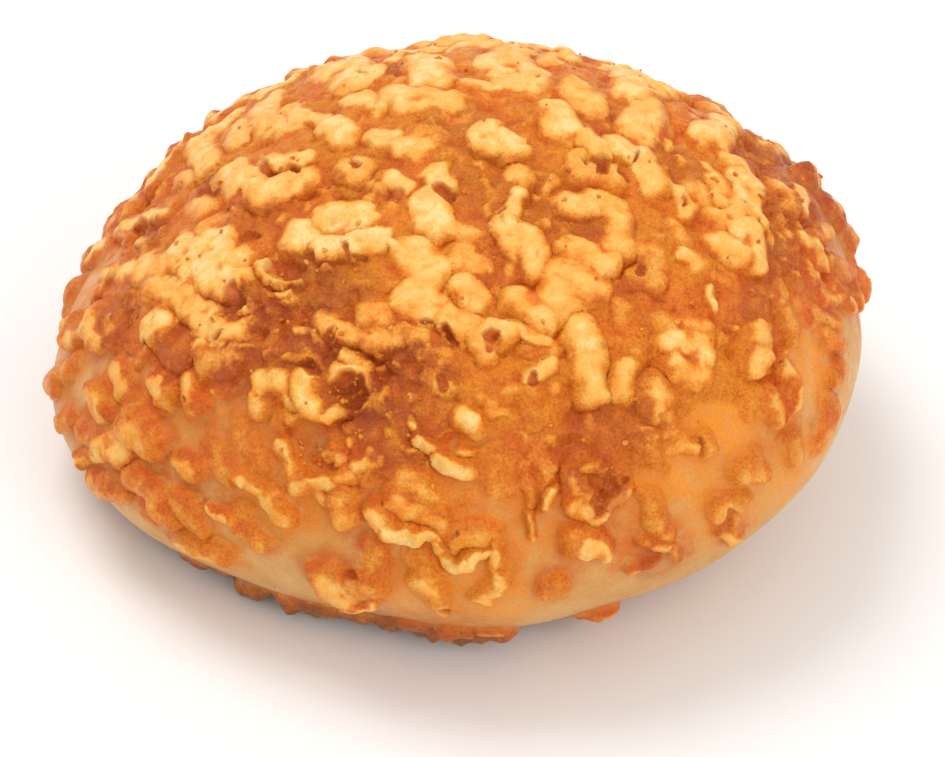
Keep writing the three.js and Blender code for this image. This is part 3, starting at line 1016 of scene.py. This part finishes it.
def flakeRows():
    # x, y, half length, way it lies, how far it stands up and how pale it is
    draw = seededRandom(coat["seed"] + 23)
    rows = []
    for i in range(flakes["looseCount"]):
        bearing = 2 * math.pi * ((i * goldenTurn) % 1)
        distance = flakes["reach"] * math.sqrt(next(draw))
        size = partWay(flakes["size"], next(draw) ** 3)
        lie, tilt, pale = 2 * math.pi * next(draw), 0.7 * next(draw), 0.5 * next(draw)
        rows.append([distance * math.cos(bearing), distance * math.sin(bearing), size, lie, tilt, pale])
    for x0, y0, x1, y1, width, _, _ in pits:
        for _ in range(round(flakes["inPit"] * width * width * next(draw))):
            share, around = next(draw), 2 * math.pi * next(draw)
            out = width * 0.75 * next(draw) ** 0.5
            x = x0 * (1 - share) + x1 * share + out * math.cos(around)
            y = y0 * (1 - share) + y1 * share + out * math.sin(around)
            size = partWay(flakes["pitSize"], next(draw))
            rows.append([x, y, size, 7 * next(draw), 1.2 * next(draw), 0.6 * next(draw)])
    for x, y, radius, amount in zones["toast"]:
        for _ in range(round(flakes["inToast"] * radius * radius * amount)):
            out, around = radius * next(draw) ** 0.5, 2 * math.pi * next(draw)
            size = partWay(flakes["pitSize"], next(draw))
            place = [x + out * math.cos(around), y + out * math.sin(around)]
            rows.append(place + [size, 7 * next(draw), next(draw), 0.1 + 0.5 * next(draw)])
    return np.array(rows)


def buildFlakes():
    rows = flakeRows()
    directions = placeDirections(rows[:, :2])
    places, marks = cheeseCoat(directions)
    normals = crustNormals(directions)
    bm = bmesh.new()
    tone = bm.verts.layers.float.new("pale")
    draw = seededRandom(coat["seed"] + 29)
    for row, place, normal, film in zip(rows, places, normals, marks["film"]):
        size, lie, tilt, pale = row[2:]
        if film < flakes["leastFilm"] and place[2] < flakes["bareBelow"]:
            continue
        corners = 5 + int(4 * next(draw))
        made = bmesh.ops.create_cone(
            bm, cap_ends=True, segments=corners, radius1=1, radius2=0.8, depth=flakes["thickness"]
        )
        up = Vector(normal)
        side = Vector((math.cos(lie), math.sin(lie), 0))
        side = (side - up * side.dot(up)).normalized()
        turn = Matrix((side, up.cross(side), up)).transposed() @ Matrix.Rotation(tilt, 3, "X")
        ragged = [partWay(flakes["ragged"], next(draw)) for _ in range(corners)]
        bend = 0.8 * (next(draw) - 0.5)
        for v in made["verts"]:
            x, y, z = v.co
            corner = round(math.atan2(y, x) / (2 * math.pi) * corners) % corners
            x, y = x * ragged[corner], 0.75 * y * ragged[corner]
            chip = Vector((x * size, y * size, z + bend * x * y * size))
            v.co = (turn @ chip + Vector(place) + up * flakes["standOff"]) * mm
            v[tone] = pale
    mesh = meshFrom(bm, "cheeseFlakes")
    setMarks(mesh, {"cheese": np.ones(len(mesh.vertices))})
    return addObject("cheeseFlakes", mesh)


def colour(red, green, blue):
    # a colour given from 0 to 255, as Blender's linear values
    parts = [value / 255 for value in (red, green, blue)]
    return tuple(p / 12.92 if p <= 0.04045 else ((p + 0.055) / 1.055) ** 2.4 for p in parts) + (1,)


class NodeBench:
    # short ways to add nodes to one material

    def __init__(self, name):
        self.material = bpy.data.materials.new(name)
        self.material.use_nodes = True
        self.tree = self.material.node_tree
        self.shader = self.tree.nodes["Principled BSDF"]
        self.place = self.add("ShaderNodeTexCoord").outputs["Object"]

    def add(self, kind, **settings):
        node = self.tree.nodes.new(kind)
        for key, value in settings.items():
            setattr(node, key, value)
        return node

    def link(self, source, target):
        self.tree.links.new(source, target)

    def feed(self, socket, value):
        if isinstance(value, bpy.types.NodeSocket):
            self.link(value, socket)
        else:
            socket.default_value = value

    def mark(self, name):
        return self.add("ShaderNodeAttribute", attribute_name=name).outputs["Fac"]

    def noise(self, size, detail, roughness, kind="FBM"):
        node = self.add("ShaderNodeTexNoise", noise_type=kind)
        node.inputs["Scale"].default_value = 1 / (size * mm)
        node.inputs["Detail"].default_value = detail
        node.inputs["Roughness"].default_value = roughness
        self.link(self.place, node.inputs["Vector"])
        return node.outputs["Fac"]

    def between(self, value, low, high, start=0.0, end=1.0):
        node = self.add("ShaderNodeMapRange", interpolation_type="SMOOTHSTEP")
        self.feed(node.inputs["Value"], value)
        node.inputs["From Min"].default_value = low
        node.inputs["From Max"].default_value = high
        node.inputs["To Min"].default_value = start
        node.inputs["To Max"].default_value = end
        return node.outputs["Result"]

    def maths(self, operation, first, second):
        node = self.add("ShaderNodeMath", operation=operation)
        self.feed(node.inputs[0], first)
        self.feed(node.inputs[1], second)
        return node.outputs[0]

    def blend(self, share, first, second, kind="MIX"):
        node = self.add("ShaderNodeMix", data_type="RGBA", blend_type=kind)
        self.feed(node.inputs["Factor"], share)
        self.feed(node.inputs["A"], first)
        self.feed(node.inputs["B"], second)
        return node.outputs["Result"]

    def relief(self, texture, depth, share, below=0.0):
        # a texture as height in mm, evenly above and below nothing, so that its share has no step
        height = self.maths("MULTIPLY", self.maths("SUBTRACT", texture, 0.5), depth)
        return self.maths("ADD", self.maths("MULTIPLY", height, share), below)

    def bump(self, height):
        node = self.add("ShaderNodeBump")
        node.inputs["Distance"].default_value = mm
        self.link(height, node.inputs["Height"])
        self.link(node.outputs["Normal"], self.shader.inputs["Normal"])


tones = {
    "cream": colour(255, 226, 158),
    "pale": colour(251, 191, 93),
    "gold": colour(252, 160, 44),
    "orange": colour(249, 138, 28),
    "deep": colour(222, 94, 10),
    "toasted": colour(170, 70, 22),
    "dough": colour(222, 172, 104),
    "doughShade": colour(214, 156, 80),
    "glaze": colour(246, 152, 26),
    "veil": colour(226, 138, 36),
    "run": colour(212, 106, 18),
    "tray": colour(146, 100, 62),
    # painted shade for the creases, partly browning and partly shade
    "creaseBrownAndShade": colour(220, 98, 18),
    "popped": colour(210, 108, 40),
    "shaded": colour(228, 204, 158),
}


finish = {
    "small": (2.4, 4, 0.6),  # size in mm, then detail and roughness of each pattern
    "grain": (0.45, 3, 0.75),
    "fold": (3.2, 3, 0.6, "RIDGED_MULTIFRACTAL"),
    "smallDepth": 0.3,  # the finest relief, in mm
    "grainDepth": 0.55,
    "foldDepth": 0.55,
    "softness": 0.16,  # how much light goes through the surface, and how far in mm
    "softReach": 1.2,
    "softTint": (1.0, 0.5, 0.2),
    "gloss": 0.36,
}


def bakedCheese():
    bench = NodeBench("bakedCheeseCrust")
    pale, toast, oil, film, cheese = map(bench.mark, ("pale", "toast", "oil", "film", "cheese"))
    veil, foot, glaze, hole = map(bench.mark, ("veil", "burnt", "glaze", "hole"))
    hollow, mottle = map(bench.mark, ("hollow", "mottle"))
    small, grain, fold = (bench.noise(*finish[name]) for name in ("small", "grain", "fold"))
    cover = bench.maths("MAXIMUM", film, cheese)

    # bare dough, from light tan to a darker baked tan, and the oil that ran down over it
    base = bench.blend(bench.between(mottle, 0.25, 0.75), tones["dough"], tones["doughShade"])
    base = bench.blend(bench.between(small, 0.5, 0.72, 0, 0.3), base, tones["veil"])
    run = bench.maths("MULTIPLY", veil, bench.between(small, 0.3, 0.6, 0.6, 1))
    base = bench.blend(run, base, tones["veil"])
    run = bench.maths("MULTIPLY", oil, bench.between(small, 0.35, 0.6, 0.3, 0.95))
    base = bench.blend(run, base, tones["run"])
    # thin melted cheese over it, golden on its folds and browned between them
    thin = bench.blend(bench.between(mottle, 0.3, 0.7), tones["orange"], tones["glaze"])
    thin = bench.blend(bench.between(small, 0.45, 0.68, 0, 0.45), thin, tones["deep"])
    thin = bench.blend(bench.between(fold, 0.3, 0.8, 0, 0.7), thin, tones["gold"])
    thin = bench.blend(bench.between(grain, 0.5, 0.34, 0, 0.3), thin, tones["deep"])
    run = bench.maths("MULTIPLY", oil, bench.between(small, 0.3, 0.65, 0.1, 0.75))
    thin = bench.blend(run, thin, tones["deep"])
    skin = bench.blend(bench.between(cover, 0.05, 0.6), base, thin)
    shine = bench.maths("MULTIPLY", glaze, bench.between(small, 0.35, 0.6, 0.4, 0.85))
    skin = bench.blend(shine, skin, tones["glaze"])
    burnt = bench.maths("MULTIPLY", toast, bench.between(small, 0.3, 0.62, 0.5, 1))
    skin = bench.blend(burnt, skin, tones["toasted"])
    # the shreds, pale on their backs and golden at their edges
    spotted = bench.maths("ADD", pale, bench.between(small, 0.32, 0.68, 0.12, -0.28))
    # painted shade: the pale backs turn golden down in the hollows
    spotted = bench.maths("SUBTRACT", spotted, bench.between(hollow, -0.02, 0.25, 0, 0.5))
    skin = bench.blend(bench.between(spotted, 0.02, 0.45), skin, tones["gold"])
    skin = bench.blend(bench.between(spotted, 0.3, 0.75), skin, tones["pale"])
    skin = bench.blend(bench.between(spotted, 0.72, 1.05, 0, 0.65), skin, tones["cream"])
    tray = bench.maths("MULTIPLY", foot, bench.between(small, 0.3, 0.6, 0.6, 1))
    skin = bench.blend(tray, skin, tones["tray"])
    # fine grain and specks, painted shade with some browning in the creases, dark insides of popped
    # bubbles
    rough = bench.between(pale, 0.25, 0.75, 0.9, 0.36)
    covered = bench.maths("MULTIPLY", rough, bench.between(cover, 0.1, 0.7, 0.35, 1))
    specks = bench.maths("MULTIPLY", bench.between(grain, 0.36, 0.3, 0, 0.7), cheese)
    skin = bench.blend(specks, skin, tones["deep"])
    # painted shade: hollows of crust and cheese darkened to a deep orange, partly browning and partly
    # shade
    creaseShade = bench.maths("MULTIPLY", bench.between(hollow, 0.04, 0.28, 0, 0.6), cover)
    skin = bench.blend(creaseShade, skin, tones["creaseBrownAndShade"])
    skin = bench.blend(hole, skin, tones["popped"])
    grained = bench.maths("MULTIPLY", bench.between(grain, 0.4, 0.62), covered)
    skin = bench.blend(grained, skin, bench.blend(1.0, skin, tones["shaded"], "MULTIPLY"))

    shader = bench.shader
    bench.link(skin, shader.inputs["Base Color"])
    bench.link(bench.between(small, 0.3, 0.7, 0.27, 0.48), shader.inputs["Roughness"])
    shader.inputs["Subsurface Weight"].default_value = finish["softness"]
    shader.inputs["Subsurface Radius"].default_value = finish["softTint"]
    shader.inputs["Subsurface Scale"].default_value = finish["softReach"] * mm
    shader.inputs["Specular IOR Level"].default_value = finish["gloss"]
    relief = bench.relief(fold, finish["foldDepth"], covered)
    relief = bench.relief(grain, finish["grainDepth"], covered, relief)
    relief = bench.relief(small, finish["smallDepth"], 1.0, relief)
    bench.bump(relief)
    return bench.material


studio = {
    "lens": 110,
    "sensor": 36,
    "nearClip": 0.01,  # in metres
    "elevation": 38.3,
    "tilt": 1.6,  # the photograph's small turn about its own axis, in degrees
    "distance": 407,
    "aimHeight": 25,
    "aimRight": 2.7,
    "aimUp": -11.4,
    "floorTone": colour(246, 245, 243),
    "floorRoughness": 0.9,
    "floorSize": 3,  # half its side, in metres
    "sky": 0.78,
    "lamps": {  # place and size in metres, then power
        "softKey": ((-0.25, 0.22, 0.75), 0.45, 2.6),
        "frontFill": ((0.55, -0.6, 0.5), 0.6, 2.3),
    },
}


def makeCamera():
    data = bpy.data.cameras.new("photoCamera")
    data.lens = studio["lens"]
    data.sensor_width = studio["sensor"]
    data.clip_start = studio["nearClip"]
    camera = addObject("photoCamera", data)
    down = math.radians(studio["elevation"])
    ahead = Vector((0, math.cos(down), -math.sin(down)))
    right = Vector((1, 0, 0))
    up = right.cross(ahead)
    middle = Vector((0, 0, studio["aimHeight"]))
    eye = middle - ahead * studio["distance"]
    target = middle + right * studio["aimRight"] + up * studio["aimUp"]
    ahead = (target - eye).normalized()
    right = ahead.cross(Vector((0, 0, 1))).normalized()
    up = right.cross(ahead)
    tilt = math.radians(studio["tilt"])
    tiltedRight = right * math.cos(tilt) + up * math.sin(tilt)
    tiltedUp = up * math.cos(tilt) - right * math.sin(tilt)
    turn = Matrix((tiltedRight, tiltedUp, -ahead)).transposed()
    camera.matrix_world = Matrix.Translation(eye * mm) @ turn.to_4x4()
    bpy.context.scene.camera = camera


def makeFloor():
    bm = bmesh.new()
    bmesh.ops.create_grid(bm, x_segments=1, y_segments=1, size=studio["floorSize"])
    floor = addObject("floor", meshFrom(bm, "floor"))
    bench = NodeBench("paleFloor")
    bench.shader.inputs["Base Color"].default_value = studio["floorTone"]
    bench.shader.inputs["Roughness"].default_value = studio["floorRoughness"]
    floor.data.materials.append(bench.material)


def addLamp(name, place, size, power):
    data = bpy.data.lights.new(name, "AREA")
    data.shape = "DISK"
    data.size = size
    data.energy = power
    lamp = addObject(name, data)
    lamp.location = place
    lamp.rotation_euler = (-Vector(place)).to_track_quat("-Z", "Y").to_euler()


def makeLight():
    world = bpy.data.worlds.new("studio")
    world.use_nodes = True
    sky = world.node_tree.nodes["Background"]
    sky.inputs["Color"].default_value = (1, 1, 1, 1)
    sky.inputs["Strength"].default_value = studio["sky"]
    bpy.context.scene.world = world
    for name, (place, size, power) in studio["lamps"].items():
        addLamp(name, place, size, power)
    bpy.context.scene.view_settings.view_transform = "Standard"


makeCamera()
makeFloor()
makeLight()
cheeseMaterial = bakedCheese()

rollPiece = buildRoll()
rollPiece.data.materials.append(cheeseMaterial)
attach(rollPiece, "root")
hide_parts("cheese_roll")
print("roll: done,", len(rollPiece.data.polygons), "triangles")

flakesPiece = buildFlakes()
flakesPiece.data.materials.append(cheeseMaterial)
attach(flakesPiece, "root")
print("flakes: done,", len(flakesPiece.data.polygons), "faces")
